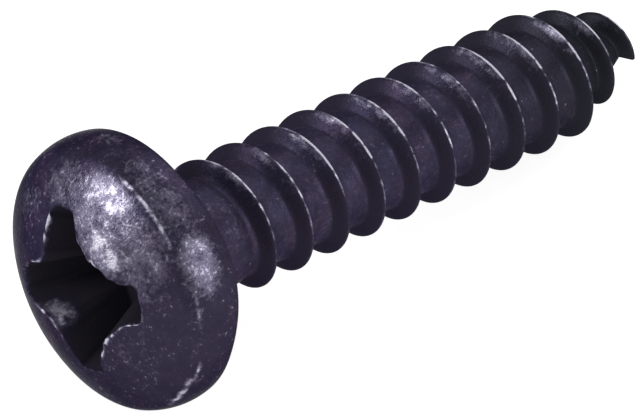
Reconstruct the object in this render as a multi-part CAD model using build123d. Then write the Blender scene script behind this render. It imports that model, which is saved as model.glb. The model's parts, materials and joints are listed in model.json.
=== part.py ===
from build123d import *
from math import ceil, cos, radians, sin, tan
import os

# Pan head sheet metal screw with a cross recess and a gimlet point, No. 8-18 x 3/4 in.
# All sizes are millimetres and degrees.  The screw is modelled along its own axis: the
# bearing face under the head is at z = 0, the head is below it and the point is above.
# The angle around the axis is counted from the side that ends up on the floor.

# Head
head_diameter = 8.20         # across the widest part of the rounded side
widest_height = 0.55         # of that part, above the bearing face
bearing_diameter = 8.06      # across the corner between the bearing face and the side
rim_break = 0.10             # broken edge on that corner
shoulder_diameter = 7.74     # where the side turns into the dome
shoulder_height = 1.44
shoulder_round = 0.22
head_height = 2.80

# Cross recess
recess_span = 4.80           # across two opposite wings, at the mouth
recess_wing_width = 1.04     # of a wing at its outer end
recess_waist = 1.02          # from the screw's axis plane to the corner between two wings
recess_tip_round = 0.20
recess_waist_round = 0.60
recess_mouth_height = 2.30   # height above the bearing face where the mouth is measured
recess_floor_height = 0.30   # height of the wings' floor above the bearing face
recess_taper = 26.5          # slope of the wings' outer ends from the axis
recess_floor_width = 0.50
recess_floor_waist = 0.46
recess_floor_round = 0.12
recess_pit_depth = 0.25      # the pointed middle goes this much below the floor
recess_pit_diameter = 1.10
recess_pit_tip = 0.10        # diameter of its flat tip
recess_overcut = 0.5         # the cutter starts this much outside the head
recess_angle = 68.5          # of one wing, around the axis
seam_angle = 93.0            # where the turned faces close, clear of the floor side

# Neck and core
neck_diameter = 3.38         # the blank, left plain under the head
neck_fillet = 0.30
neck_length = 2.30
neck_step = 0.12             # length of the taper down to the rolled core
root_diameter = 3.25
length = 19.30               # from the bearing face to the end of the point
point_length = 3.20          # the core tapers over this length
point_end_diameter = 0.24    # the blunt end of the point

# Thread, right-hand
thread_diameter = 4.14
thread_pitch = 25.4 / 18
thread_angle = 60.0          # between its two flanks
crest_flat = 0.12
thread_start = 2.31          # height at which the ridge begins to rise
thread_start_angle = 14.0
thread_rise = 0.33           # turns that it takes to reach its full height
thread_end_gap = 0.47        # from the end of the ridge to the end of the point
point_crest_slope = 21.0     # half-angle of the cone round the crests of the point
ridge_depth = 0.12           # the foot of the ridge is this far inside the core
least_foot_radius = 0.01     # of the ridge's hidden foot, where the core runs out
least_depth = 0.02           # of the ridge where it starts, before it rises
steps_per_turn = 12
tangent_nudge = 1e-4         # share of a turn over which an end's direction is taken

# Search for the dip of the axis on the floor
steepest_dip = 45.0
bisections = 40

point_start = length - point_length
thread_turns = (length - thread_end_gap - thread_start) / thread_pitch
flank_slope = tan(radians(thread_angle / 2))


def core_radius(z):
    """Radius of the rolled core at height z."""
    full = root_diameter / 2
    end = point_end_diameter / 2
    return full + (end - full) * max(0.0, z - point_start) / point_length


def ridge_height(turn):
    """Height along the axis of the middle of the ridge, so many turns from its start."""
    return thread_start + thread_pitch * turn


def foot_radius(turn):
    """Radius of the foot of the ridge, which is hidden in the core."""
    foot_reach = (thread_diameter - root_diameter) / 2 * flank_slope + crest_flat / 2
    return max(least_foot_radius, core_radius(ridge_height(turn) + foot_reach) - ridge_depth)


def crest_radius(turn):
    """Radius of the crest, which rises out of the neck and tapers towards the point."""
    z = ridge_height(turn)
    full = thread_diameter / 2
    low = foot_radius(turn) + least_depth
    rise = min(1.0, turn / thread_rise)
    risen = low + (full - low) * rise * rise * (3 - 2 * rise)
    return min(risen, full - max(0.0, z - point_start) * tan(radians(point_crest_slope)))


def head_side():
    """Arc of the head's side, from the bearing face to the shoulder, in the XZ plane."""
    return Edge.make_three_point_arc(
        Vector(bearing_diameter / 2, 0, 0),
        Vector(head_diameter / 2, 0, -widest_height),
        Vector(shoulder_diameter / 2, 0, -shoulder_height),
    )


def dome():
    """Arc of the shallow dome, from the shoulder to the axis, in the XZ plane."""
    radius = shoulder_diameter / 2
    rise = head_height - shoulder_height
    dome_radius = (radius**2 + rise**2) / (2 * rise)
    middle = dome_radius - head_height
    half_angle = Vector(0, -1).get_angle(Vector(radius, rise - dome_radius)) / 2
    return Edge.make_three_point_arc(
        Vector(radius, 0, -shoulder_height),
        Vector(dome_radius * sin(radians(half_angle)), 0, middle - dome_radius * cos(radians(half_angle))),
        Vector(0, 0, -head_height),
    )


def turned_blank():
    """Head, neck, core and point as one turned body, without recess and thread."""
    neck = neck_diameter / 2
    outline = [
        (0, -head_height),
        (0, length),
        (point_end_diameter / 2, length),
        (root_diameter / 2, point_start),
        (root_diameter / 2, neck_length + neck_step),
        (neck, neck_length),
        (neck, 0),
        (bearing_diameter / 2, 0),
    ]
    corners = [Vector(r, 0, z) for r, z in outline]
    lines = [Edge.make_line(a, b) for a, b in zip(corners, corners[1:])]
    profile = make_face(Wire(lines + [head_side(), dome()]))
    rim = profile.vertices().sort_by_distance((bearing_diameter / 2, 0, 0))[0]
    profile = chamfer(rim, rim_break)
    for corner, radius in (
        ((shoulder_diameter / 2, 0, -shoulder_height), shoulder_round),
        ((neck, 0, 0), neck_fillet),
    ):
        profile = fillet(profile.vertices().sort_by_distance(corner)[0], radius)
    return Rot(0, 0, seam_angle) * revolve(profile, Axis.Z, 360)


def cross(span, width, waist, tip_round, waist_round):
    """A four-winged outline: wings with flared sides and rounded corners."""
    corners = []
    for wing in range(4):
        turn = Rot(0, 0, 90 * wing)
        for x, y in ((span / 2, -width / 2), (span / 2, width / 2), (waist, waist)):
            corners.append((turn * Pos(x, y, 0)).position)
    outline = Polygon(*[(c.X, c.Y) for c in corners], align=None)
    waists = outline.vertices().sort_by(lambda v: Vector(v).length)[:4]
    outline = fillet(waists, waist_round)
    tips = outline.vertices().sort_by(lambda v: Vector(v).length)[-8:]
    return fillet(tips, tip_round)


def recess():
    """The cutter for the cross recess: tapered wings and a pointed middle."""
    mouth_z = -(head_height + recess_overcut)
    floor_z = -recess_floor_height
    taper = tan(radians(recess_taper))
    floor_span = recess_span - 2 * (recess_mouth_height - recess_floor_height) * taper
    mouth_span = recess_span + 2 * (-mouth_z - recess_mouth_height) * taper
    mouth = cross(mouth_span, recess_wing_width, recess_waist, recess_tip_round, recess_waist_round)
    floor = cross(
        floor_span, recess_floor_width, recess_floor_waist, recess_floor_round, recess_floor_round
    )
    wings = loft([Pos(0, 0, mouth_z) * mouth, Pos(0, 0, floor_z) * floor], ruled=True)
    pit = Pos(0, 0, floor_z + recess_pit_depth / 2) * Cone(
        recess_pit_diameter / 2, recess_pit_tip / 2, recess_pit_depth
    )
    return Rot(0, 0, recess_angle) * (wings + pit)


def ridge_point(turn, radius_at, side):
    """Point on the ridge's flank on this side (-1 or 1), where its radius is radius_at(turn)."""
    radius = radius_at(turn)
    offset = crest_flat / 2 + (crest_radius(turn) - radius) * flank_slope
    angle = radians(thread_start_angle + 360 * turn)
    return Vector(radius * cos(angle), radius * sin(angle), ridge_height(turn) + side * offset)


def rail(first, last, radius_at, side):
    """Edge that follows the ridge from one turn to another, along a flank's crest or foot."""
    shares = [step / steps_per_turn for step in range(steps_per_turn + 1)]
    span = last - first
    nudge = span * tangent_nudge
    ends = []
    for turn in (first, last):
        ahead = ridge_point(turn + nudge, radius_at, side)
        behind = ridge_point(turn - nudge, radius_at, side)
        ends.append((ahead - behind) / (2 * tangent_nudge))
    return Edge.make_spline(
        [ridge_point(first + span * share, radius_at, side) for share in shares],
        tangents=ends,
        parameters=shares,
        scale=False,
    )


def ridge_length(first, last):
    """About one turn of the thread as a closed solid: a crest, two flanks and a hidden foot."""
    corners = ((foot_radius, -1), (crest_radius, -1), (crest_radius, 1), (foot_radius, 1))
    rails = [rail(first, last, radius_at, side) for radius_at, side in corners]
    faces = [Face.make_surface_from_curves(a, b) for a, b in zip(rails, rails[1:] + rails[:1])]
    for end in (0, 1):
        faces.append(Face(Wire.make_polygon([edge @ end for edge in rails])))
    return Solid(Shell(faces))


def head_drop(tilt):
    """How far the head reaches below the origin when the axis dips by tilt degrees."""
    side = head_side()
    centre = side.arc_center
    return centre.X * cos(radians(tilt)) + centre.Z * sin(radians(tilt)) + side.radius


def thread_drop(tilt):
    """How far the lowest crest reaches below the origin when the axis dips by tilt degrees."""
    drops = []
    for crest in range(1, int(thread_turns) + 1):
        turn = crest - thread_start_angle / 360
        z = ridge_height(turn) + crest_flat / 2
        drops.append(crest_radius(turn) * cos(radians(tilt)) + z * sin(radians(tilt)))
    return max(drops)


def floor_tilt():
    """Dip of the axis at which the head and a crest near the point touch the floor."""
    low, high = 0.0, steepest_dip
    for _ in range(bisections):
        middle = (low + high) / 2
        if thread_drop(middle) < head_drop(middle):
            low = middle
        else:
            high = middle
    return low


def screw():
    """The finished screw, lying on its side with the bearing face's centre at the origin."""
    upright = turned_blank() - recess()
    lengths = ceil(thread_turns)
    for number in range(lengths):
        first = thread_turns * number / lengths
        last = thread_turns * (number + 1) / lengths
        upright += ridge_length(first, last)
    return Rot(0, 90 + floor_tilt(), 0) * upright


os.makedirs("parts", exist_ok=True)
export_step(screw(), "parts/screw.step")
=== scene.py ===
"""Looks of the pan head sheet metal screw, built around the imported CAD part.

The skin of the screw is modelled in the screw's own frame, in millimetres: the bearing
face is at z = 0, the head is below it, the point is above, and angles are counted from
the side that lies on the floor.  It is then laid into the row frame, in metres, by the
axis that the record gives for the bearing face.
"""
import json

import bpy
import numpy as np
from mathutils import Matrix, Vector


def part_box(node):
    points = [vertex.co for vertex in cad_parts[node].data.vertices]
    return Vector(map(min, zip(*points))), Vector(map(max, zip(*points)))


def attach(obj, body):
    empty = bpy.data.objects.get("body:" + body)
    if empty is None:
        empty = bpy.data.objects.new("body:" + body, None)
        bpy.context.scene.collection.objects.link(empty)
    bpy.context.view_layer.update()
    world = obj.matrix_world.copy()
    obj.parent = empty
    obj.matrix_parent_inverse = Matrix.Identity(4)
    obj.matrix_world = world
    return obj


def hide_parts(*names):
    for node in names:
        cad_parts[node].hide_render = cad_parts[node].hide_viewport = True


MM = 0.001
TAU = 2 * np.pi

# ---------------------------------------------------------------- sizes, in millimetres
HEAD_RADIUS = 4.10
WIDEST_HEIGHT = 0.55         # of the head's side, below the bearing face
BEARING_RADIUS = 4.03
BEARING_ROUND = 0.10         # on the corner between the bearing face and the side
SHOULDER_RADIUS = 3.87
SHOULDER_HEIGHT = 1.44
SHOULDER_ROUND = 0.17
DOME_EDGE_RADIUS = SHOULDER_RADIUS - SHOULDER_ROUND
HEAD_HEIGHT = 2.80

WINGS = 4
RECESS_SPAN = 4.80
RECESS_WING_WIDTH = 1.04
RECESS_WAIST = 1.02
RECESS_TIP_ROUND = 0.20
RECESS_WAIST_ROUND = 0.60
RECESS_MOUTH_HEIGHT = 2.30
RECESS_FLOOR_HEIGHT = 0.30
RECESS_TAPER = 26.5
RECESS_FLOOR_WIDTH = 0.50
RECESS_FLOOR_WAIST = 0.46
RECESS_FLOOR_ROUND = 0.12
RECESS_PIT_DEPTH = 0.25
RECESS_PIT_RADIUS = 0.55
RECESS_ANGLE = 68.5
RECESS_OVERCUT = 0.5         # the recess's walls are worked out from this far off the dome
CUTTER_HEIGHT = HEAD_HEIGHT + RECESS_OVERCUT
RIM_ROUND = 0.07             # on the recess's rim, across the dome and down the wall
FLOOR_ROUND = 0.08           # where the recess's walls meet its floor

NECK_RADIUS = 1.69
NECK_FILLET = 0.30
NECK_STEP_HEIGHT = 2.50      # of the step from the neck down to the core
NECK_STEP_REACH = (0.03, 0.05)  # of that step, below and above its line
ROOT_RADIUS = 1.625
LENGTH = 19.30
POINT_LENGTH = 3.20
POINT_END_RADIUS = 0.12
POINT_CAP = 0.01             # height of the blunt end's middle
POINT_SWELL = 0.13           # how much fuller the core is between the last turns
SWELL_RISES = (0.5, 0.75)    # shares of the point over which it grows fuller
SWELL_FALLS = (0.82, 1.0)    # and lean again

THREAD_RADIUS = 2.07
PITCH = 25.4 / 18
THREAD_ANGLE = 60.0          # between its two flanks
FLANK_SLOPE = np.tan(np.radians(THREAD_ANGLE / 2))
CREST_FLAT = 0.09
CREST_ROUND = 0.04
ROOT_ROUND = 0.12
THREAD_START = 2.31
THREAD_START_ANGLE = 14.0
THREAD_START_DEPTH = 0.1     # how far inside the core the crest starts
THREAD_RISE = 0.33           # turns in which the crest rises to its full height
THREAD_END_GAP = 0.47        # from the thread's end to the end of the point
POINT_CREST_SLOPE = 21.0     # half-angle of the cone round the crests of the point
THREAD_TURNS = (LENGTH - THREAD_END_GAP - THREAD_START) / PITCH
THREAD_WHOLE_TURNS = int(THREAD_TURNS)
THREAD_END_FALL = 0.07       # turns in which the end of the crest drops to the core
THREAD_END_CURVE = 2.5       # power of that fall: steep first, then soft

VIEWER_ANGLE = -136.5        # side of the screw that faces the camera

# ---------------------------------------------------------------- worn recess and head, painted highlights and shade
# A place is (angle, half width, strength or distance), with angles in degrees.
# recess rim worn back by a driver: how far outwards, or inwards where less than 0
RIM_FLARES = {
    "upper_right_waist": (206, 29, 0.37),
    "right_wing_tip": (247, 25, 0.19),
    "lower_right_waist": (294, 29, 0.31),
    "upper_wing_tip": (153, 19, 0.13),
    "upper_wing_left_side": (134, 12, 0.07),
    "left_wing_upper_side": (82, 15, -0.10),
}
RIM_RAGGED = (0.02, 0.35, 5)  # the rim's wander: how far, size of its bumps, seed
# metal pushed up outside the rim: how high
RIM_BURRS = {"upper_right": (205, 34, 0.045), "lower_right": (290, 26, 0.02)}
BURR_WIDTH = 0.42
# bearing edge bent towards the thread, how far it bends, and where the bend fades
EDGE_BENT = (240, 42, 0.20)
EDGE_BENT_FROM = 3.0         # radius on the bearing face
EDGE_BENT_TO = 0.9           # height on the side
# bright stretches of the recess rim
RIM_SHINE = {
    "lower_left_waist": (30, 26, 0.9),
    "upper_wing_left_side": (137, 14, 2.2),
    "left_waist": (104, 16, 0.8),
    "upper_right_waist": (203, 30, 1.0),
    "right_wing_tip": (252, 6, 0.5),
    "lower_right_upper_side": (266, 14, 1.5),
    "lower_right_waist": (287, 18, 1.6),
    "lower_right_lower_side": (308, 14, 0.8),
}
RIM_SHINE_WIDTH = 0.16       # on the dome
RIM_SHINE_LOST = 0.7         # share of it that is gone at the foot of the rim's round
RIM_WORN = 0.08              # how worn the rest of the rim is
RIM_SHADE = 0.5               # painted shade at the foot of the rim's round, going down into the recess
# painted highlight on the wall just inside the rim, down to this share of its depth
WALL_SHINE = {"lower_left_waist": (30, 27, 1.05)}
WALL_SHINE_DEPTH = 0.5
WALL_SHINE_CLEARS = 1.6      # how strongly it takes off the painted shade
# bright lines near the shoulder: angle, half width, strength, reach over the head, width
SHOULDER_SHINE = {
    "upper": (203, 28, 1.6, 3.85, 0.045),
    "right": (252, 24, 0.38, 4.05, 0.07),
    "lower": (298, 17, 1.5, 4.00, 0.08),
    "lower_end": (282, 9, 1.0, 4.14, 0.06),
    "all_round": (180, 400, 0.12, 3.87, 0.05),
}
# scuffed patches, with painted highlight where the light falls on the dome and side:
# angle, reach over the head, half length round, half width, strength
SCUFFS_AND_SHEEN = {
    "dome_upper_edge": (187, 3.32, 1.20, 0.46, 0.76),
    "dome_beside_recess": (204, 2.25, 0.95, 0.42, 0.95),
    "dome_between": (194, 2.75, 1.70, 0.95, 0.48),
    "dome_right": (218, 3.00, 1.60, 0.90, 0.36),
    "dome_left": (120, 3.00, 0.80, 0.45, 0.24),
    "dome_top": (158, 3.10, 1.10, 0.60, 0.36),
    "dome_lower": (283, 2.45, 1.10, 0.80, 0.10),
    "side_right": (233, 4.38, 1.15, 0.55, 0.55),
    "side_upper": (203, 4.30, 2.00, 0.65, 0.27),
    "side_top": (165, 4.70, 0.50, 0.30, 0.30),
}
SCUFF_AND_SHEEN_FADES = (0.35, 1.35)   # shares of a patch's half size
# painted shade on the lower side of the head, which the light falls on less
HEAD_SHADE = (285, 110, 0.36)

# ---------------------------------------------------------------- worn thread, painted highlights and shade
# Sides are (angle, half width) and a strength where it has one; ranges are (from, to).
CREST_ALL_ROUND = 0.1        # brightness of the crest lines away from their lit side
# crest lines: worn, with painted highlight that is strongest on the side where the light
# catches them
CREST_SIDE = (203, 66, 0.8)
CREST_MIDDLE = (203, 20, 0.8)
CREST_MIDDLE_SETS_IN = (2.5, 7.0)  # heights
CREST_FADES = (14.5, 18.0)   # heights
CREST_FADED = 0.45           # share lost beyond them
CREST_LINE = (-0.012, -0.003)  # radii, counted from the crest's
CREST_WEAR_AND_SHEEN = 1.5
RIDGE_SHOWS = (0.05, 0.15)   # heights of the ridge over the core
# lighter patches high on the flanks: painted highlight where the light catches them, with
# worn marks
FLANK_SIDE = (190, 42)
FLANK_SHARES = (0.4, 0.8)    # of the way from the core to the crest
FLANK_LEAST_RISE = 0.01      # keeps that share finite where there is no ridge
FLANK_FADES = (16.6, 17.6)   # heights
FLANK_FADED = 0.7
FLANK_WEAR_AND_SHEEN = 0.6
# lighter patch on the neck: painted highlight on its lit side
NECK_SIDE = (225, 60)
NECK_FADES = (2.2, 3.0)      # heights
NECK_WEAR_AND_SHEEN = 0.12
# painted shade on the thread's flanks: it starts off the core and is cleared on the side
# the light falls on
SHADE_SETS_IN = (0.008, 0.05)  # distances off the core
SHADE_CLEARED = (193, 52, 0.85)
FLANK_CLEARS = 0.6           # share of the painted shade that the flanks' painted highlight takes off
SHANK_SHADE = 0.6

# How uneven worn marks and painted highlights are: middle value, least, most and the
# fields that are added to it, each as strength, bump size and seed.
UNBOUND = np.inf
MOTTLES = {
    "crests": (0.72, 0.1, 1.7, ((0.55, 0.28, 11), (0.55, 0.8, 13), (0.4, 2.4, 14))),
    "flanks": (0.5, -UNBOUND, UNBOUND, ((0.5, 0.5, 12),)),
    "scuffs_and_sheen": (0.85, -UNBOUND, UNBOUND, ((0.25, 0.5, 21),)),
    "shoulder": (0.8, 0.25, 1.4, ((0.6, 0.3, 22),)),
    "rim": (0.75, 0.15, 1.3, ((0.7, 0.3, 31),)),
    "wall": (0.9, 0.3, 1.4, ((0.4, 0.35, 41),)),
}

WAVE_COUNT = 40              # waves that are added up to one field
WAVE_LENGTHS = (0.7, 1.6)    # their shortest and longest, as shares of the bump size
WAVE_SCALE = 0.6             # brings nearly all of a field within -1 to 1

# ---------------------------------------------------------------- mesh density
SHANK_COLUMNS = 144
LOW_RING = 1.85              # height where the shank's rows begin
ROWS_BELOW = 6               # from there to the thread
ROWS_ABOVE = 8               # from the last crest's rows to the point's end
# distances from a crest at which rows lie, on each side of it
CREST_ROWS = (0.012, 0.03, 0.05, 0.09, 0.13, 0.18, 0.23, 0.27, 0.295, 0.32, 0.36, 0.5)
CREST_REACH = 0.4            # rows this near belong to the first and to the last crest
END_GAP = 0.01               # from the last crest's rows to the point's end
LEAST_ROOM = 0.05            # least share to which the last crest's rows are squeezed
NECK_ROWS = 11
NECK_FILLET_ROWS = 7
BEARING_FROM = 2.4           # radius of the bearing face's first ring
BEARING_RINGS = 5
BEARING_ROUND_ROWS = 5
SIDE_ROWS = 14
SHOULDER_ROWS = 8
# points on each round and each straight stretch of the recess's outline
WAIST_POINTS, SIDE_POINTS, TIP_POINTS, END_POINTS = 20, 31, 8, 10
HEAD_COLUMNS = WINGS * (WAIST_POINTS + 2 * SIDE_POINTS + 2 * TIP_POINTS + END_POINTS)
DOME_ROWS = 26
DOME_CROWDING = 1.25         # power by which the dome's rows crowd towards the recess
RIM_ROWS = 6
WALL_ROWS = 15
FLOOR_ROUND_SHARES = (0.33, 0.67, 1.0)
FLOOR_SHARES = (0.85, 0.7, 0.55, 0.4, 0.27, 0.15, 0.07)
BISECTIONS = 40              # in the search for the line where walls and dome meet

# ---------------------------------------------------------------- stage, light, camera
FLOOR_HALF = 2.0             # metres
FLOOR_GREY = (0.4, 0.4, 0.4)
FLOOR_ROUGHNESS = 0.9
FLOOR_GLOW = 0.83
WHITE = (1.0, 1.0, 1.0)
WORLD_STRENGTH = 0.55
# lights: azimuth, elevation, size in metres, power
LIGHTS = {
    "key_left": (148, 27, 0.20, 0.75),
    "key_right": (-71, 22, 0.26, 0.7),
    "fill_far": (10, 42, 0.34, 0.5),
}
LIGHT_DISTANCE = 0.4         # metres
LIGHT_TARGET = (0.008, 0, 0)  # metres, about the middle of the screw
LENS = 300.7
SENSOR_WIDTH = 36.0
CLIP = (0.005, 10.0)         # metres
CAMERA_DIP = 41.03           # how far it looks down, in degrees
CAMERA_HEADING = 47.63
# millimetres by which the bearing face's centre lies right of, above and before it
CAMERA_OFFSET = (-5.047, -1.508, 150.2)

# ---------------------------------------------------------------- finish of the surface
# colours
BLUE_PLUM = (0.042, 0.040, 0.075)
RED_PLUM = (0.056, 0.039, 0.070)
DARK_OXIDE = (0.026, 0.023, 0.043)
# colours of the painted shade, pale and deep
PALE_PAINTED_SHADE = (0.026, 0.022, 0.038)
DEEP_PAINTED_SHADE = (0.022, 0.020, 0.028)
GREY_OXIDE = (0.022, 0.023, 0.030)
# lighter oxide for worn places and for painted highlights
THINNED_OXIDE_AND_SHEEN = (0.20, 0.185, 0.26)
BARE_STEEL = (0.50, 0.48, 0.57)
SPECULAR_TINT = (0.36, 0.36, 0.36)
# noises: bump size in millimetres, detail, roughness
CLOUDS = (0.6, 4.0, 0.6)
TINTS = (1.1, 3.0, 0.6)
GRAINS = (0.07, 2.0, 0.6)
FLECKS = (0.13, 4.0, 0.7)
SCRATCH_BENDS = (0.9, 1.0, 0.5)
SCRATCH_PIECES = (0.35, 2.0, 0.5)
# how two noises, or the level of worn marks and painted highlights and a noise, are
# weighed against each other
OXIDE_WEIGHTS = (0.55, 0.45)  # clouds, flecks
THIN_AND_SHEEN_WEIGHTS = (0.4, 0.9)  # clouds, flecks
BARE_WEIGHTS = (0.46, 0.20)  # wear squared, clouds
BUMP_WEIGHTS = (1.0, 0.6)    # grains, flecks
# ranges of a value over which something sets in
PLUM_TURNS_RED = (0.35, 0.65)
OXIDE_LIGHTENS = (0.38, 0.64)
# ranges of the painted shade: where it covers the oxide, where it deepens, and where it
# holds back worn marks and painted highlights
SHADE_COVERS = (0.0, 0.6)
SHADE_DEEPENS = (0.6, 1.0)
SHADE_STOPS_WEAR_AND_SHEEN = (0.2, 0.7)
OXIDE_GREYS = (10.0, 18.0)   # heights
THIN_AND_SHEEN_SETS_IN = (0.76, 1.34)
STEEL_SHOWS = (0.74, 0.92)
HEAD_TO_SHANK = (0.0, 2.0)   # heights
SHANK_BARE_LOSS = 0.05       # how much later steel shows on the shank
METALLIC = (0.70, 0.4)       # on the head and on the shank
SHADE_METALLIC = (1.0, 0.1)   # share of it that is left without and with painted shade
GRAIN_SPAN = (0.3, 0.7)
ROUGHNESS = (0.24, 0.38)
WEAR_AND_SHEEN_ROUGHEN = (0.0, 0.4)
BUMP_SHARES = (0.5, 1.0)     # without and with worn marks and painted highlights
BUMP_STRENGTH = 0.8
BUMP_HEIGHT = 0.022
# scratches: how far their cells are bent, size of the cells, line width in cells
SCRATCH_SHIFT = 0.9
SCRATCH_CELLS = 0.8
SCRATCH_WIDTH = 0.035
SCRATCH_BREAKS = (0.54, 0.62)
SCRATCHES_NEED_WEAR_AND_SHEEN = (0.05, 0.45)
SCRATCH_STRENGTH = 0.6


# ================================================================ small helpers
def waves(points, size, seed):
    """A smooth random field, about -1 to 1, whose bumps are about size apart."""
    rng = np.random.default_rng(seed)
    directions = rng.normal(size=(WAVE_COUNT, 3))
    directions /= np.linalg.norm(directions, axis=1)[:, None]
    lengths = size * rng.uniform(*WAVE_LENGTHS, WAVE_COUNT)
    phases = rng.uniform(0, TAU, WAVE_COUNT)
    angles = points @ (directions / lengths[:, None]).T * TAU + phases
    return np.sin(angles).sum(axis=1) * np.sqrt(2.0 / WAVE_COUNT) * WAVE_SCALE


def mottle(points, name):
    """How strong worn marks and painted highlights of this kind are at these points, by
    its entry in MOTTLES.
    """
    total, least, most, fields = MOTTLES[name]
    for strength, size, seed in fields:
        total = total + strength * waves(points.reshape(-1, 3), size, seed)
    return np.clip(total, least, most).reshape(points.shape[:-1])


def smooth_step(low, high, x):
    """0 below low, 1 above high and a soft rise between them."""
    t = np.clip((x - low) / (high - low), 0.0, 1.0)
    return t * t * (3 - 2 * t)


def smooth_max(a, b, width):
    """The larger of a and b, with the corner between them rounded over this width."""
    h = np.clip(0.5 + 0.5 * (a - b) / width, 0.0, 1.0)
    return b + (a - b) * h + width * h * (1 - h)


def off_angle(angle, centre):
    """Angle from the centre, from -180 to 180 degrees."""
    return np.mod(angle - centre + 180, 360) - 180


def bell(angle, centre, half_width):
    """1 at the centre angle, falling to 0 at the half width; all in degrees."""
    return np.clip(1 - (off_angle(angle, centre) / half_width) ** 2, 0, 1) ** 2


def spot(angle, place):
    """The bell at one place, scaled by the place's strength."""
    centre, half_width, strength = place
    return strength * bell(angle, centre, half_width)


def spots(angle, places):
    """The bells at several places, one row for each."""
    return np.array([spot(angle, place) for place in places.values()])


def steps(count, start=0.0, end=1.0):
    """So many even steps from start to end, without the start itself."""
    return np.linspace(start, end, count + 1)[1:]


def middles(count):
    """The middles of so many equal parts of 0 to 1."""
    return (np.arange(count) + 0.5) / count


def bend(a, corner, b, share):
    """Point on the round that replaces a corner, from a (share 0) to b (share 1)."""
    return (1 - share) ** 2 * a + 2 * share * (1 - share) * corner + share**2 * b


def bend_line(a, corner, b, shares):
    """Points at several shares of the round that replaces a corner."""
    return bend(np.array(a), np.array(corner), np.array(b), shares[:, None])


def turned(plan, degrees):
    """Points of a plan, turned round the axis by this angle."""
    turn = np.radians(degrees)
    return plan @ np.array([[np.cos(turn), np.sin(turn)], [-np.sin(turn), np.cos(turn)]])


def on_circle(radius, angles, height):
    """Points round the axis at this radius and height."""
    height = np.broadcast_to(height, angles.shape)
    return np.stack([radius * np.cos(angles), radius * np.sin(angles), height], axis=-1)


def off_axis(points):
    """Distance of points, or of points of a plan, from the axis."""
    return np.linalg.norm(points[:, :2], axis=1)


def as_line(ring, angles):
    """A closed ring as a line in the order of its angles, which ends where it began."""
    angles = np.mod(angles, TAU)
    order = np.argsort(angles)
    line, places = ring[order], angles[order]
    return np.append(line, line[0]), np.append(places, places[0] + TAU)


class Skin:
    """Collects vertices and faces of one mesh, in the screw's own frame."""

    def __init__(self):
        self.points = []
        self.wear_and_sheen = []
        self.soot = []
        self.count = 0
        self.faces = []

    def add(self, points, wear_and_sheen=0.0, soot=0.0):
        """Adds points, their worn marks with painted highlights and their painted shade;
        returns their numbers.
        """
        points = np.asarray(points, float).reshape(-1, 3)
        self.points.append(points)
        self.wear_and_sheen.append(np.broadcast_to(wear_and_sheen, len(points)))
        self.soot.append(np.broadcast_to(soot, len(points)))
        numbers = np.arange(self.count, self.count + len(points))
        self.count += len(points)
        return numbers

    def quads(self, *corners):
        """Quads whose four corners are the numbers in these four rows, in that order."""
        self.faces.extend(np.stack(corners, axis=1).tolist())

    def band(self, ring_a, ring_b):
        """Quads between two closed rings with as many points."""
        self.quads(ring_a, np.roll(ring_a, -1), np.roll(ring_b, -1), ring_b)

    def grow(self, ring, points, wear_and_sheen=0.0, soot=0.0):
        """Adds a ring of points, joined to the ring before it; returns its numbers."""
        numbers = self.add(points, wear_and_sheen, soot)
        self.band(numbers, ring)
        return numbers

    def zipper(self, line_a, places_a, line_b, places_b):
        """Triangles between two open lines whose points lie at these places along them."""
        i = j = 0
        while i < len(line_a) - 1 or j < len(line_b) - 1:
            next_a = places_a[i + 1] if i < len(line_a) - 1 else np.inf
            next_b = places_b[j + 1] if j < len(line_b) - 1 else np.inf
            if next_a <= next_b:
                self.faces.append([int(line_a[i]), int(line_a[i + 1]), int(line_b[j])])
                i += 1
            else:
                self.faces.append([int(line_a[i]), int(line_b[j + 1]), int(line_b[j])])
                j += 1

    def fan(self, ring, centre):
        """Triangles from a closed ring to one point."""
        for a, b in zip(ring, np.roll(ring, -1)):
            self.faces.append([int(a), int(b), int(centre)])


# ================================================================ shank
def core_radius(z):
    """Radius of the rolled core, which tapers to the point."""
    share = np.clip((z - (LENGTH - POINT_LENGTH)) / POINT_LENGTH, 0.0, 1.0)
    swell = POINT_SWELL * smooth_step(*SWELL_RISES, share)
    swell = swell * (1 - smooth_step(*SWELL_FALLS, share))
    return ROOT_RADIUS + (POINT_END_RADIUS - ROOT_RADIUS) * share + swell


def crest_radius(turn):
    """Radius of the thread's crest so many turns from its start."""
    z = THREAD_START + PITCH * turn
    low = core_radius(z) - THREAD_START_DEPTH
    risen = low + (THREAD_RADIUS - low) * smooth_step(0.0, THREAD_RISE, turn)
    beyond = np.maximum(0.0, z - (LENGTH - POINT_LENGTH))
    tapered = THREAD_RADIUS - beyond * np.tan(np.radians(POINT_CREST_SLOPE))
    return np.minimum(risen, tapered)


def blank_radius(angle, z):
    """Radius of neck and core; their step follows the thread on the viewer's side."""
    off_view = angle - np.radians(VIEWER_ANGLE)
    step = NECK_STEP_HEIGHT + PITCH / TAU * np.sin(off_view)
    below, above = NECK_STEP_REACH
    past_step = smooth_step(step - below, step + above, z)
    return core_radius(z) + (NECK_RADIUS - ROOT_RADIUS) * (1 - past_step)


def end_height(phase):
    """Height of the point's end at this share of a turn, with the thread's end on it."""
    turn = THREAD_WHOLE_TURNS + phase
    crest = THREAD_START + PITCH * np.minimum(turn, THREAD_TURNS)
    reach = CREST_FLAT / 2 + (crest_radius(turn) - POINT_END_RADIUS) * FLANK_SLOPE
    beak = np.maximum(LENGTH, crest + reach)
    return np.where(turn <= THREAD_TURNS + THREAD_END_FALL, beak, LENGTH)


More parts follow.
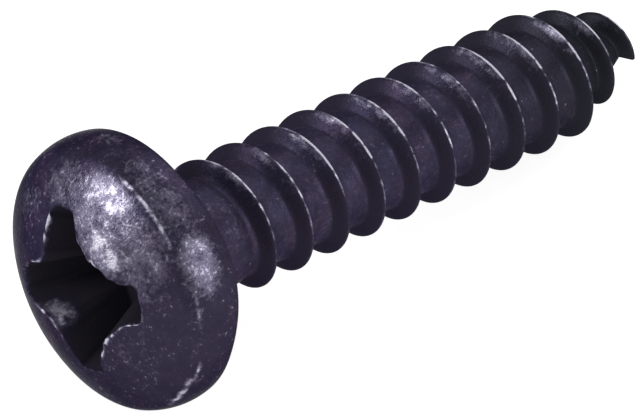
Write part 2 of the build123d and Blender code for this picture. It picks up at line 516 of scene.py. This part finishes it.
def shank_radius(angle, z):
    """Radius of the threaded shank's surface at these angles and heights."""
    radius = blank_radius(angle, z)
    phase = np.mod(angle - np.radians(THREAD_START_ANGLE), TAU) / TAU
    nearest = np.round((z - THREAD_START) / PITCH - phase)
    for crest in (nearest - 1, nearest, nearest + 1):
        turn = crest + phase
        off = np.abs(z - THREAD_START - PITCH * turn)
        here = (turn >= 0) & (turn <= THREAD_TURNS + THREAD_END_FALL)
        past_flat = smooth_max(off - CREST_FLAT / 2, 0.0, CREST_ROUND)
        past_end = np.clip((turn - THREAD_TURNS) / THREAD_END_FALL, 0.0, 1.0)
        left = (1 - past_end) ** THREAD_END_CURVE
        top = crest_radius(turn) * left + core_radius(z) * (1 - left)
        ridge = top - past_flat / FLANK_SLOPE
        radius = np.where(here, smooth_max(ridge, radius, ROOT_ROUND), radius)
    return radius


def turn_offsets():
    """Heights above a crest at which rows lie, up to the next crest."""
    below_next = [PITCH - row for row in CREST_ROWS[::-1]]
    return np.array([0.0, *CREST_ROWS, PITCH / 2, *below_next])


def shank_rows(phase):
    """Heights of the shank's rows at these shares of a turn.

    Also gives the first row of the first whole turn and the first row after the last.
    """
    turn_rows = turn_offsets()
    side_rows = turn_rows[turn_rows < CREST_REACH]
    first_crest = THREAD_START + PITCH * phase
    rows = []
    for share in np.arange(ROWS_BELOW) / ROWS_BELOW:
        rows.append(LOW_RING + (first_crest - side_rows[-1] - LOW_RING) * share)
    rows.extend(first_crest - offset for offset in side_rows[:0:-1])
    start_row = len(rows)
    for turn in range(THREAD_WHOLE_TURNS):
        rows.extend(first_crest + PITCH * turn + offset for offset in turn_rows)
    end_row = len(rows)
    last_crest = first_crest + PITCH * THREAD_WHOLE_TURNS
    end = end_height(phase)
    room = (end - END_GAP - last_crest) / (side_rows[-1] + END_GAP)
    room = np.clip(room, LEAST_ROOM, 1.0)
    rows.extend(last_crest + offset * room for offset in side_rows)
    highest = rows[-1]
    rows.extend(highest + (end - highest) * share for share in steps(ROWS_ABOVE))
    return np.array(rows), start_row, end_row


def shank_wear_and_painted_light(points, angle, radius):
    """Worn marks with painted highlights, and painted shade, of the shank at these points,
    angles and radii.
    """
    height = points[..., 2]
    degrees = np.degrees(angle)
    crest = crest_radius((height - THREAD_START) / PITCH)
    blank = blank_radius(angle, height)
    ridge = smooth_step(*RIDGE_SHOWS, crest - blank)
    # crest lines: worn, with painted highlight on the side the light catches
    facing = CREST_ALL_ROUND + spot(degrees, CREST_SIDE)
    facing += spot(degrees, CREST_MIDDLE) * smooth_step(*CREST_MIDDLE_SETS_IN, height)
    facing *= 1 - CREST_FADED * smooth_step(*CREST_FADES, height)
    on_crest = smooth_step(*CREST_LINE, radius - crest)
    line = on_crest * facing
    # lighter patches high on the flanks: painted highlight on the side the light catches
    share = (radius - blank) / (crest - blank + FLANK_LEAST_RISE)
    flank = smooth_step(*FLANK_SHARES, share) * bell(degrees, *FLANK_SIDE)
    flank *= 1 - FLANK_FADED * smooth_step(*FLANK_FADES, height)
    # lighter patch on the neck: painted highlight on its lit side
    neck = (1 - ridge) * bell(degrees, *NECK_SIDE) * (1 - smooth_step(*NECK_FADES, height))
    patchy = mottle(points, "flanks")
    thread = np.maximum(
        CREST_WEAR_AND_SHEEN * line * mottle(points, "crests"), FLANK_WEAR_AND_SHEEN * flank * patchy
    )
    wear_and_sheen = np.maximum(ridge * thread, NECK_WEAR_AND_SHEEN * neck * patchy)
    # painted shade on the flanks, none on the crests and less on the side the light falls
    # on
    soot = ridge * smooth_step(*SHADE_SETS_IN, radius - blank) * (1 - FLANK_CLEARS * flank)
    soot *= (1 - spot(degrees, SHADE_CLEARED)) * (1 - on_crest)
    return wear_and_sheen, SHANK_SHADE * soot


def make_neck(skin, ring, angles):
    """Rows from this ring down to the neck's foot; returns the ring on the foot."""
    rows = [(NECK_RADIUS, height) for height in steps(NECK_ROWS, LOW_RING, NECK_FILLET)]
    fillet = bend_line(
        (NECK_RADIUS, NECK_FILLET),
        (NECK_RADIUS, 0.0),
        (NECK_RADIUS + NECK_FILLET, 0.0),
        steps(NECK_FILLET_ROWS),
    )
    for radius, height in rows + fillet.tolist():
        ring = skin.grow(ring, on_circle(radius, angles, height))
    return ring


def make_shank(skin):
    """Neck, thread and point; returns the ring on the neck's foot and its angles."""
    phase = np.arange(SHANK_COLUMNS) / SHANK_COLUMNS
    height, start_row, end_row = shank_rows(phase)
    angles = np.radians(THREAD_START_ANGLE) + TAU * phase
    angle = np.broadcast_to(angles, height.shape)
    radius = shank_radius(angle, height)
    points = on_circle(radius, angle, height)
    wear_and_sheen, soot = shank_wear_and_painted_light(points, angle, radius)
    numbers = skin.add(points, wear_and_sheen.ravel(), soot.ravel()).reshape(height.shape)
    for row, above in zip(numbers, numbers[1:]):
        skin.quads(row[:-1], row[1:], above[1:], above[:-1])
    # seam: the last column meets the first one, whose rows are one turn ahead
    turn_rows = len(turn_offsets())
    last, first = numbers[:, -1], numbers[:, 0]
    here = last[start_row : end_row - turn_rows + 1]
    ahead = first[start_row + turn_rows : end_row + 1]
    skin.quads(here[:-1], ahead[:-1], ahead[1:], here[1:])
    low_last, low_first = slice(0, start_row + 1), slice(0, start_row + turn_rows + 1)
    high_last, high_first = slice(end_row - turn_rows, None), slice(end_row, None)
    for on_first, on_last in ((low_first, low_last), (high_first, high_last)):
        skin.zipper(
            first[on_first], height[on_first, 0], last[on_last], height[on_last, -1]
        )
    tip = skin.add([[0, 0, LENGTH + POINT_CAP]])
    skin.fan(numbers[-1], tip[0])
    return make_neck(skin, numbers[0], angles), angles


# ================================================================ head
def dome_height(r):
    """Height below the bearing face of the dome at radius r."""
    rise = HEAD_HEIGHT - SHOULDER_HEIGHT
    dome_radius = (SHOULDER_RADIUS**2 + rise**2) / (2 * rise)
    return HEAD_HEIGHT - dome_radius + np.sqrt(dome_radius**2 - r**2)


def side_radius(height):
    """Radius of the head's rounded side at this height below the bearing face."""
    x = [0.0, WIDEST_HEIGHT, SHOULDER_HEIGHT]
    y = [BEARING_RADIUS, HEAD_RADIUS, SHOULDER_RADIUS]
    a, b, c = np.polyfit(x, y, 2)
    return a * height**2 + b * height + c


def head_profile():
    """(radius, height) of the head's outside, from the bearing face to the dome's edge."""
    last_radius = BEARING_RADIUS - BEARING_ROUND
    face = [(r, 0.0) for r in np.linspace(BEARING_FROM, last_radius, BEARING_RINGS)]
    bearing_round = bend_line(
        face[-1],
        (BEARING_RADIUS, 0.0),
        (side_radius(BEARING_ROUND), BEARING_ROUND),
        steps(BEARING_ROUND_ROWS),
    )
    heights = steps(SIDE_ROWS, BEARING_ROUND, SHOULDER_HEIGHT - SHOULDER_ROUND)
    side = [(side_radius(height), height) for height in heights]
    shoulder = bend_line(
        side[-1],
        (SHOULDER_RADIUS, SHOULDER_HEIGHT),
        (DOME_EDGE_RADIUS, dome_height(DOME_EDGE_RADIUS)),
        steps(SHOULDER_ROWS),
    )
    return face + bearing_round.tolist() + side + shoulder.tolist()


def head_wear_and_sheen(points, degrees, reach):
    """How worn the head is, with its painted highlights, at these points, angles and
    distances over it.
    """
    uneven, beads = mottle(points, "scuffs_and_sheen"), mottle(points, "shoulder")
    wear_and_sheen = np.zeros(np.broadcast(degrees, reach).shape)
    for centre, middle, around, across, strength in SCUFFS_AND_SHEEN.values():
        off = np.radians(off_angle(degrees, centre)) * np.minimum(reach, HEAD_RADIUS)
        far = np.sqrt((off / around) ** 2 + ((reach - middle) / across) ** 2)
        patch = strength * (1 - smooth_step(*SCUFF_AND_SHEEN_FADES, far))
        wear_and_sheen = np.maximum(wear_and_sheen, patch * uneven)
    for centre, half, strength, middle, width in SHOULDER_SHINE.values():
        line = np.exp(-(((reach - middle) / width) ** 2))
        wear_and_sheen = np.maximum(wear_and_sheen, strength * line * bell(degrees, centre, half) * beads)
    return wear_and_sheen


def make_side(skin, angles):
    """Bearing face, side and shoulder; returns their rings, from the face outwards."""
    degrees = np.degrees(angles)
    bent = spot(degrees, EDGE_BENT)
    rings = []
    for radius, depth in head_profile():
        on_face = smooth_step(EDGE_BENT_FROM, BEARING_RADIUS, radius)
        lift = bent * on_face * (1 - smooth_step(0.0, EDGE_BENT_TO, depth))
        points = on_circle(radius, angles, lift - depth)
        on_side = depth < SHOULDER_HEIGHT
        reach = SHOULDER_RADIUS + (SHOULDER_HEIGHT - depth) if on_side else radius
        wear_and_sheen = head_wear_and_sheen(points, degrees, reach)
        # the head's lower side takes painted shade
        rings.append(skin.add(points, wear_and_sheen, spot(degrees, HEAD_SHADE)))
    return rings


def cross_outline(span, width, waist, tip_round, waist_round):
    """Points round a four-winged outline, as many as the head has columns."""
    wing = (
        ((waist, -waist), waist_round, WAIST_POINTS, SIDE_POINTS),
        ((span / 2, -width / 2), tip_round, TIP_POINTS, END_POINTS),
        ((span / 2, width / 2), tip_round, TIP_POINTS, SIDE_POINTS),
    )
    corners = []
    for number in range(WINGS):
        for place, *rest in wing:
            corners.append((turned(np.array(place), 90 * number), *rest))
    count = len(corners)
    starts, ends = [], []
    for i, (corner, radius, _, _) in enumerate(corners):
        before = corners[i - 1][0] - corner
        after = corners[(i + 1) % count][0] - corner
        before /= np.linalg.norm(before)
        after /= np.linalg.norm(after)
        half = np.arccos(np.clip(before @ after, -1, 1)) / 2
        starts.append(corner + before * radius / np.tan(half))
        ends.append(corner + after * radius / np.tan(half))
    points = []
    for i, (corner, _, on_round, on_straight) in enumerate(corners):
        points.append(bend_line(starts[i], corner, ends[i], middles(on_round)))
        straight = starts[(i + 1) % count] - ends[i]
        points.append(ends[i] + straight * middles(on_straight)[:, None])
    return np.concatenate(points)


def recess_plans():
    """Plans of the recess at the height of its cutter's end and at its floor."""
    taper = np.tan(np.radians(RECESS_TAPER))
    mouth_plan = cross_outline(
        RECESS_SPAN + 2 * (CUTTER_HEIGHT - RECESS_MOUTH_HEIGHT) * taper,
        RECESS_WING_WIDTH,
        RECESS_WAIST,
        RECESS_TIP_ROUND,
        RECESS_WAIST_ROUND,
    )
    floor_plan = cross_outline(
        RECESS_SPAN - 2 * (RECESS_MOUTH_HEIGHT - RECESS_FLOOR_HEIGHT) * taper,
        RECESS_FLOOR_WIDTH,
        RECESS_FLOOR_WAIST,
        RECESS_FLOOR_ROUND,
        RECESS_FLOOR_ROUND,
    )
    return turned(mouth_plan, RECESS_ANGLE), turned(floor_plan, RECESS_ANGLE)


def plain_rim(mouth_plan, floor_plan):
    """Plan of the line where the recess's walls meet the dome, before any wear."""
    low, high = np.zeros(len(mouth_plan)), np.ones(len(mouth_plan))
    for _ in range(BISECTIONS):
        middle = (low + high) / 2
        plan = mouth_plan + (floor_plan - mouth_plan) * middle[:, None]
        height = CUTTER_HEIGHT + (RECESS_FLOOR_HEIGHT - CUTTER_HEIGHT) * middle
        inside = height < dome_height(off_axis(plan))
        high = np.where(inside, middle, high)
        low = np.where(inside, low, middle)
    return mouth_plan + (floor_plan - mouth_plan) * low[:, None]


def worn_rim(plan, degrees, burr):
    """Points of the rim, worn back, ragged and with the burr's height."""
    along = np.roll(plan, -1, axis=0) - np.roll(plan, 1, axis=0)
    across = np.column_stack([along[:, 1], -along[:, 0]])
    outwards = across / np.linalg.norm(along, axis=1)[:, None]
    far, size, seed = RIM_RAGGED
    ragged = far * waves(np.column_stack([plan, np.zeros(len(plan))]), size, seed)
    flare = np.sum(spots(degrees, RIM_FLARES), axis=0)
    plan = plan + outwards * (flare + ragged)[:, None]
    return np.column_stack([plan, -(dome_height(off_axis(plan)) + burr)])


def make_dome(skin, ring, angles, rim, rim_shine, burr):
    """Dome from its edge to the rim's round; returns its last ring and points."""
    degrees = np.degrees(angles)
    edge = on_circle(DOME_EDGE_RADIUS, angles, 0.0)[:, :2]
    reach = np.linalg.norm(edge - rim[:, :2], axis=1)
    last_share = 1 - RIM_ROUND / reach
    for row_share in 1 - (1 - steps(DOME_ROWS)) ** DOME_CROWDING:
        share = row_share * last_share
        plan = edge + (rim[:, :2] - edge) * share[:, None]
        off_rim = reach * (1 - share)
        radius = off_axis(plan)
        rise = burr * (1 - smooth_step(0.0, BURR_WIDTH, off_rim))
        points = np.column_stack([plan, -dome_height(radius) - rise])
        near_rim = rim_shine * (1 - smooth_step(0.0, RIM_SHINE_WIDTH, off_rim))
        wear_and_sheen = np.maximum(head_wear_and_sheen(points, degrees, radius), near_rim)
        # the head's lower side takes painted shade
        ring = skin.grow(ring, points, wear_and_sheen, spot(degrees, HEAD_SHADE))
    return ring, points


def make_recess(skin, ring, before_rim, rim, rim_shine, floor_plan, degrees):
    """Rim's round, walls, floor and pit of the recess, with painted shade inside it and a
    painted highlight on one wall.
    """
    foot = np.column_stack([floor_plan, np.full(len(floor_plan), -RECESS_FLOOR_HEIGHT)])
    depth = np.linalg.norm(foot - rim, axis=1)
    wall_start = rim + (foot - rim) * (RIM_ROUND / depth)[:, None]
    wall_end = foot + (rim - foot) * (FLOOR_ROUND / depth)[:, None]
    for share in steps(RIM_ROWS):
        points = bend(before_rim, rim, wall_start, share)
        # painted shade grows down the rim's round, except under its bright stretches
        soot = RIM_SHADE * share * (1 - np.minimum(rim_shine, 1))
        ring = skin.grow(ring, points, rim_shine * (1 - RIM_SHINE_LOST * share), soot)
    # painted highlight on one wall near the rim, fading with depth
    wall_shine = np.max(spots(degrees, WALL_SHINE), axis=0)
    for share in steps(WALL_ROWS):
        points = wall_start + (wall_end - wall_start) * share
        shine = wall_shine * (1 - smooth_step(0.0, WALL_SHINE_DEPTH, share))
        shine *= mottle(points, "wall")
        # the walls take painted shade, except under the painted highlight
        soot = 1 - np.minimum(WALL_SHINE_CLEARS * shine, 1.0)
        ring = skin.grow(ring, points, shine, soot)
    inward = foot.copy()
    inward[:, :2] *= 1 - FLOOR_ROUND / off_axis(foot)[:, None]
    # the floor's round, the floor and the pit are fully covered in painted shade
    for share in FLOOR_ROUND_SHARES:
        ring = skin.grow(ring, bend(wall_end, foot, inward, share), soot=1.0)
    for share in FLOOR_SHARES:
        points = inward.copy()
        points[:, :2] *= share
        sunk = np.clip(1 - off_axis(points) / RECESS_PIT_RADIUS, 0, 1)
        points[:, 2] += RECESS_PIT_DEPTH * sunk
        ring = skin.grow(ring, points, soot=1.0)
    centre = skin.add([[0, 0, -RECESS_FLOOR_HEIGHT + RECESS_PIT_DEPTH]], soot=1.0)
    skin.fan(ring[::-1], centre[0])


def make_head(skin, neck_ring, neck_angles):
    """Bearing face, side, dome and cross recess."""
    # the outline of the recess, and so the first column, starts between two wings
    start = np.radians(RECESS_ANGLE - 45) - WAIST_POINTS / 2 * TAU / HEAD_COLUMNS
    angles = start + (np.arange(HEAD_COLUMNS) + 0.5) * TAU / HEAD_COLUMNS
    degrees = np.degrees(angles)
    rings = make_side(skin, angles)
    skin.zipper(*as_line(rings[0], angles), *as_line(neck_ring, neck_angles))
    for ring, next_ring in zip(rings, rings[1:]):
        skin.band(next_ring, ring)
    mouth_plan, floor_plan = recess_plans()
    burr = np.max(spots(degrees, RIM_BURRS), axis=0)
    rim = worn_rim(plain_rim(mouth_plan, floor_plan), degrees, burr)
    rim_shine = np.max(spots(degrees, RIM_SHINE), axis=0) * mottle(rim, "rim")
    rim_shine = np.maximum(rim_shine, RIM_WORN)
    ring, before_rim = make_dome(skin, rings[-1], angles, rim, rim_shine, burr)
    make_recess(skin, ring, before_rim, rim, rim_shine, floor_plan, degrees)


# ================================================================ placing
def add_object(name, data):
    """A new object in the scene that shows this mesh, light or camera."""
    item = bpy.data.objects.new(name, data)
    bpy.context.scene.collection.objects.link(item)
    return item


def screw_matrix(axis):
    """Matrix from the screw's own frame, in mm, to the row frame, in metres."""
    along = Vector(axis).normalized()
    across = Vector((0, 1, 0))
    floor_side = across.cross(along)
    rows = Matrix((floor_side, across, along)).transposed().to_4x4()
    return rows @ Matrix.Scale(MM, 4)


def make_screw(frame):
    """The whole skin as one object."""
    skin = Skin()
    make_head(skin, *make_shank(skin))
    points = np.concatenate(skin.points)
    matrix = np.array(screw_matrix(frame["record"]["mounts"][0]["axis"]))
    placed = points @ matrix[:3, :3].T + matrix[:3, 3]
    mesh = bpy.data.meshes.new("screw_skin")
    mesh.from_pydata(placed.tolist(), [], skin.faces)
    mesh.validate()
    layers = {
        "wear_and_sheen": np.concatenate(skin.wear_and_sheen),
        "soot": np.concatenate(skin.soot),
        "height": points[:, 2],
    }
    for name, values in layers.items():
        layer = mesh.attributes.new(name, "FLOAT", "POINT")
        layer.data.foreach_set("value", values.astype(np.float32))
    mesh.polygons.foreach_set("use_smooth", np.ones(len(mesh.polygons), bool))
    mesh.update()
    return add_object("screw_skin", mesh)


# ================================================================ stage, light, camera
def make_floor(level):
    """A plain pale floor just under the screw."""
    mesh = bpy.data.meshes.new("floor")
    signs = ((-1, -1), (1, -1), (1, 1), (-1, 1))
    corners = [(x * FLOOR_HALF, y * FLOOR_HALF, level) for x, y in signs]
    mesh.from_pydata(corners, [], [(0, 1, 2, 3)])
    plane = add_object("floor", mesh)
    material = bpy.data.materials.new("pale_floor")
    material.use_nodes = True
    shader = material.node_tree.nodes["Principled BSDF"]
    shader.inputs["Base Color"].default_value = (*FLOOR_GREY, 1)
    shader.inputs["Roughness"].default_value = FLOOR_ROUGHNESS
    shader.inputs["Emission Color"].default_value = (*WHITE, 1)
    shader.inputs["Emission Strength"].default_value = FLOOR_GLOW
    mesh.materials.append(material)
    return plane


def make_light(name, azimuth, elevation, size, power):
    """A soft square light that looks at the screw from this direction."""
    data = bpy.data.lights.new(name, "AREA")
    data.energy = power
    data.size = size
    light = add_object(name, data)
    a, e = np.radians(azimuth), np.radians(elevation)
    direction = Vector((np.cos(e) * np.cos(a), np.cos(e) * np.sin(a), np.sin(e)))
    light.location = Vector(LIGHT_TARGET) + direction * LIGHT_DISTANCE
    light.rotation_euler = direction.to_track_quat("Z", "Y").to_euler()


def make_world():
    """An even white surrounding."""
    world = bpy.data.worlds.new("studio")
    bpy.context.scene.world = world
    world.use_nodes = True
    background = world.node_tree.nodes["Background"]
    background.inputs["Color"].default_value = (*WHITE, 1)
    background.inputs["Strength"].default_value = WORLD_STRENGTH


def make_camera():
    """A long lens that looks down on the head, along the screw towards its point."""
    data = bpy.data.cameras.new("camera")
    data.lens = LENS
    data.sensor_width = SENSOR_WIDTH
    data.clip_start, data.clip_end = CLIP
    camera = add_object("camera", data)
    dip, heading = np.radians(CAMERA_DIP), np.radians(CAMERA_HEADING)
    level = np.cos(dip)
    look = Vector((level * np.cos(heading), level * np.sin(heading), -np.sin(dip)))
    right = Vector((np.sin(heading), -np.cos(heading), 0))
    up = right.cross(look)
    offset = Vector(CAMERA_OFFSET) * MM
    camera.location = -(right * offset.x + up * offset.y + look * offset.z)
    camera.rotation_euler = Matrix((right, up, -look)).transposed().to_euler()
    bpy.context.scene.camera = camera


# ================================================================ shader nodes
def add_node(tree, kind, settings=(), **values):
    """A shader node with its settings and the values of its sockets."""
    node = tree.nodes.new(kind)
    for name, value in dict(settings).items():
        setattr(node, name, value)
    for name, value in values.items():
        node.inputs[name].default_value = value
    return node


def own_place(tree):
    """The place on the screw, in the object's own axes."""
    return add_node(tree, "ShaderNodeTexCoord").outputs["Object"]


def noise(tree, size, detail, roughness, output="Fac"):
    """A noise whose bumps are about this many millimetres apart."""
    sockets = {"Scale": 1 / (size * MM), "Detail": detail, "Roughness": roughness}
    texture = add_node(tree, "ShaderNodeTexNoise", **sockets)
    tree.links.new(own_place(tree), texture.inputs["Vector"])
    return texture.outputs[output]


def ramp(tree, value, span, to=(0.0, 1.0)):
    """A value run from one span to another, and held at both ends."""
    node = add_node(tree, "ShaderNodeMapRange")
    for socket, number in zip(node.inputs[1:5], (*span, *to)):
        socket.default_value = number
    tree.links.new(value, node.inputs[0])
    return node.outputs[0]


def combine(tree, operation, a, b):
    """Two values, or a value and a number, put together."""
    node = add_node(tree, "ShaderNodeMath", {"operation": operation})
    for socket, item in zip(node.inputs, (a, b)):
        if isinstance(item, (int, float)):
            socket.default_value = item
        else:
            tree.links.new(item, socket)
    return node.outputs[0]


def multiply(tree, a, b):
    """The product of two values."""
    return combine(tree, "MULTIPLY", a, b)


def weigh(tree, a, b, weights):
    """The sum of two values, each times its weight."""
    parts = [multiply(tree, item, weight) for item, weight in zip((a, b), weights)]
    return combine(tree, "ADD", *parts)


def mix_colour(tree, share, a, b):
    """Colour between a and b, each a colour or a node's colour, by this share."""
    node = add_node(tree, "ShaderNodeMix", {"data_type": "RGBA"})
    tree.links.new(share, node.inputs["Factor"])
    for name, item in (("A", a), ("B", b)):
        socket = [one for one in node.inputs if one.name == name and one.type == "RGBA"][0]
        if isinstance(item, tuple):
            socket.default_value = (*item, 1)
        else:
            tree.links.new(item, socket)
    return [one for one in node.outputs if one.type == "RGBA"][0]


def attribute(tree, name):
    """The value of one of the skin's own attributes."""
    return add_node(tree, "ShaderNodeAttribute", {"attribute_name": name}).outputs["Fac"]


# ================================================================ finish of the surface
def scratches(tree, wear_and_sheen):
    """Short curved lines: pieces of the borders between large bent cells."""
    shift = add_node(
        tree, "ShaderNodeVectorMath", {"operation": "SCALE"}, Scale=SCRATCH_SHIFT * MM
    )
    tree.links.new(noise(tree, *SCRATCH_BENDS, output="Color"), shift.inputs[0])
    moved = add_node(tree, "ShaderNodeVectorMath", {"operation": "ADD"})
    tree.links.new(own_place(tree), moved.inputs[0])
    tree.links.new(shift.outputs[0], moved.inputs[1])
    cells = add_node(
        tree,
        "ShaderNodeTexVoronoi",
        {"feature": "DISTANCE_TO_EDGE"},
        Scale=1 / (SCRATCH_CELLS * MM),
    )
    tree.links.new(moved.outputs[0], cells.inputs["Vector"])
    line = ramp(tree, cells.outputs["Distance"], (0.0, SCRATCH_WIDTH), (1.0, 0.0))
    pieces = ramp(tree, noise(tree, *SCRATCH_PIECES), SCRATCH_BREAKS)
    more = ramp(tree, wear_and_sheen, SCRATCHES_NEED_WEAR_AND_SHEEN, (0.0, SCRATCH_STRENGTH))
    return multiply(tree, multiply(tree, line, pieces), more)


def oxide_colour(tree, soot, height, clouds, flecks):
    """The oxide itself, mottled, darkest under the painted shade and greyer towards the
    point.
    """
    redness = ramp(tree, noise(tree, *TINTS), PLUM_TURNS_RED)
    plum = mix_colour(tree, redness, BLUE_PLUM, RED_PLUM)
    lightness = ramp(tree, weigh(tree, clouds, flecks, OXIDE_WEIGHTS), OXIDE_LIGHTENS)
    oxide = mix_colour(tree, lightness, DARK_OXIDE, plum)
    # painted shade: the oxide goes over to a dark grey where it is marked
    shaded = mix_colour(tree, ramp(tree, soot, SHADE_DEEPENS), PALE_PAINTED_SHADE, DEEP_PAINTED_SHADE)
    oxide = mix_colour(tree, ramp(tree, soot, SHADE_COVERS), oxide, shaded)
    return mix_colour(tree, ramp(tree, height, OXIDE_GREYS), oxide, GREY_OXIDE)


def worn_and_sheen_colour(tree, oxide, wear_and_sheen, soot, height, clouds, flecks):
    """The oxide lightened where it is worn and where highlights are painted, with flecks
    and scratches of bare metal.
    """
    # no worn marks and no painted highlights under the painted shade
    unshaded = ramp(tree, soot, SHADE_STOPS_WEAR_AND_SHEEN, (1.0, 0.0))
    uneven = combine(tree, "ADD", wear_and_sheen, weigh(tree, clouds, flecks, THIN_AND_SHEEN_WEIGHTS))
    thin_and_sheen = multiply(tree, ramp(tree, uneven, THIN_AND_SHEEN_SETS_IN), unshaded)
    thinned_and_sheen = mix_colour(tree, thin_and_sheen, oxide, THINNED_OXIDE_AND_SHEEN)
    # bare steel shows where worn and where highlights are painted
    worn = weigh(tree, multiply(tree, wear_and_sheen, wear_and_sheen), clouds, BARE_WEIGHTS)
    level = combine(tree, "ADD", flecks, worn)
    later = ramp(tree, height, HEAD_TO_SHANK, (0.0, SHANK_BARE_LOSS))
    level = combine(tree, "SUBTRACT", level, later)
    bare = ramp(tree, level, STEEL_SHOWS)
    bare = multiply(tree, combine(tree, "MAXIMUM", bare, scratches(tree, wear_and_sheen)), unshaded)
    return mix_colour(tree, bare, thinned_and_sheen, BARE_STEEL)


def make_oxide():
    """Dark purple oxide over steel: mottled, flecked with bare metal, bright on edges,
    with painted highlights and painted shade.
    """
    material = bpy.data.materials.new("dark_oxide_steel")
    material.use_nodes = True
    tree = material.node_tree
    shader = tree.nodes["Principled BSDF"]
    shader.inputs["Specular Tint"].default_value = (*SPECULAR_TINT, 1)
    shader.inputs["Specular IOR Level"].default_value = 0.0
    wear_and_sheen, soot, height = (attribute(tree, name) for name in ("wear_and_sheen", "soot", "height"))
    clouds, grains, flecks = (noise(tree, *kind) for kind in (CLOUDS, GRAINS, FLECKS))
    oxide = oxide_colour(tree, soot, height, clouds, flecks)
    colour = worn_and_sheen_colour(tree, oxide, wear_and_sheen, soot, height, clouds, flecks)
    tree.links.new(colour, shader.inputs["Base Color"])
    # the painted shade is matt, the oxide and the steel are not
    metal = ramp(tree, height, HEAD_TO_SHANK, METALLIC)
    metal = multiply(tree, metal, ramp(tree, soot, (0.0, 1.0), SHADE_METALLIC))
    tree.links.new(metal, shader.inputs["Metallic"])
    rough = ramp(tree, grains, GRAIN_SPAN, ROUGHNESS)
    tree.links.new(rough, shader.inputs["Roughness"])
    bumps = weigh(tree, grains, flecks, BUMP_WEIGHTS)
    bumps = multiply(tree, bumps, ramp(tree, wear_and_sheen, WEAR_AND_SHEEN_ROUGHEN, BUMP_SHARES))
    bump = add_node(
        tree, "ShaderNodeBump", Strength=BUMP_STRENGTH, Distance=BUMP_HEIGHT * MM
    )
    tree.links.new(bumps, bump.inputs["Height"])
    tree.links.new(bump.outputs["Normal"], shader.inputs["Normal"])
    return material


# ================================================================ the scene
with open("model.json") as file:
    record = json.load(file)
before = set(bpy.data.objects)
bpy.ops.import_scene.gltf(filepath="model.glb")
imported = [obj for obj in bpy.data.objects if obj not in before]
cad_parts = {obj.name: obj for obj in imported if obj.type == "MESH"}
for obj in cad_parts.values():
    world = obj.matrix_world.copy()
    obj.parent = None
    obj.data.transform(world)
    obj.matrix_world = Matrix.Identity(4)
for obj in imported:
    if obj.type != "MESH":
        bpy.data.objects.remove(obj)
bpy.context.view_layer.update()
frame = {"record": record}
scene = bpy.context.scene
scene.view_settings.view_transform = "Standard"

screw = make_screw(frame)
screw.data.materials.append(make_oxide())
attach(screw, "root")
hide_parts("screw")

floor = make_floor(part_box("screw")[0].z)
make_world()
for light_name, light_values in LIGHTS.items():
    make_light(light_name, *light_values)
make_camera()
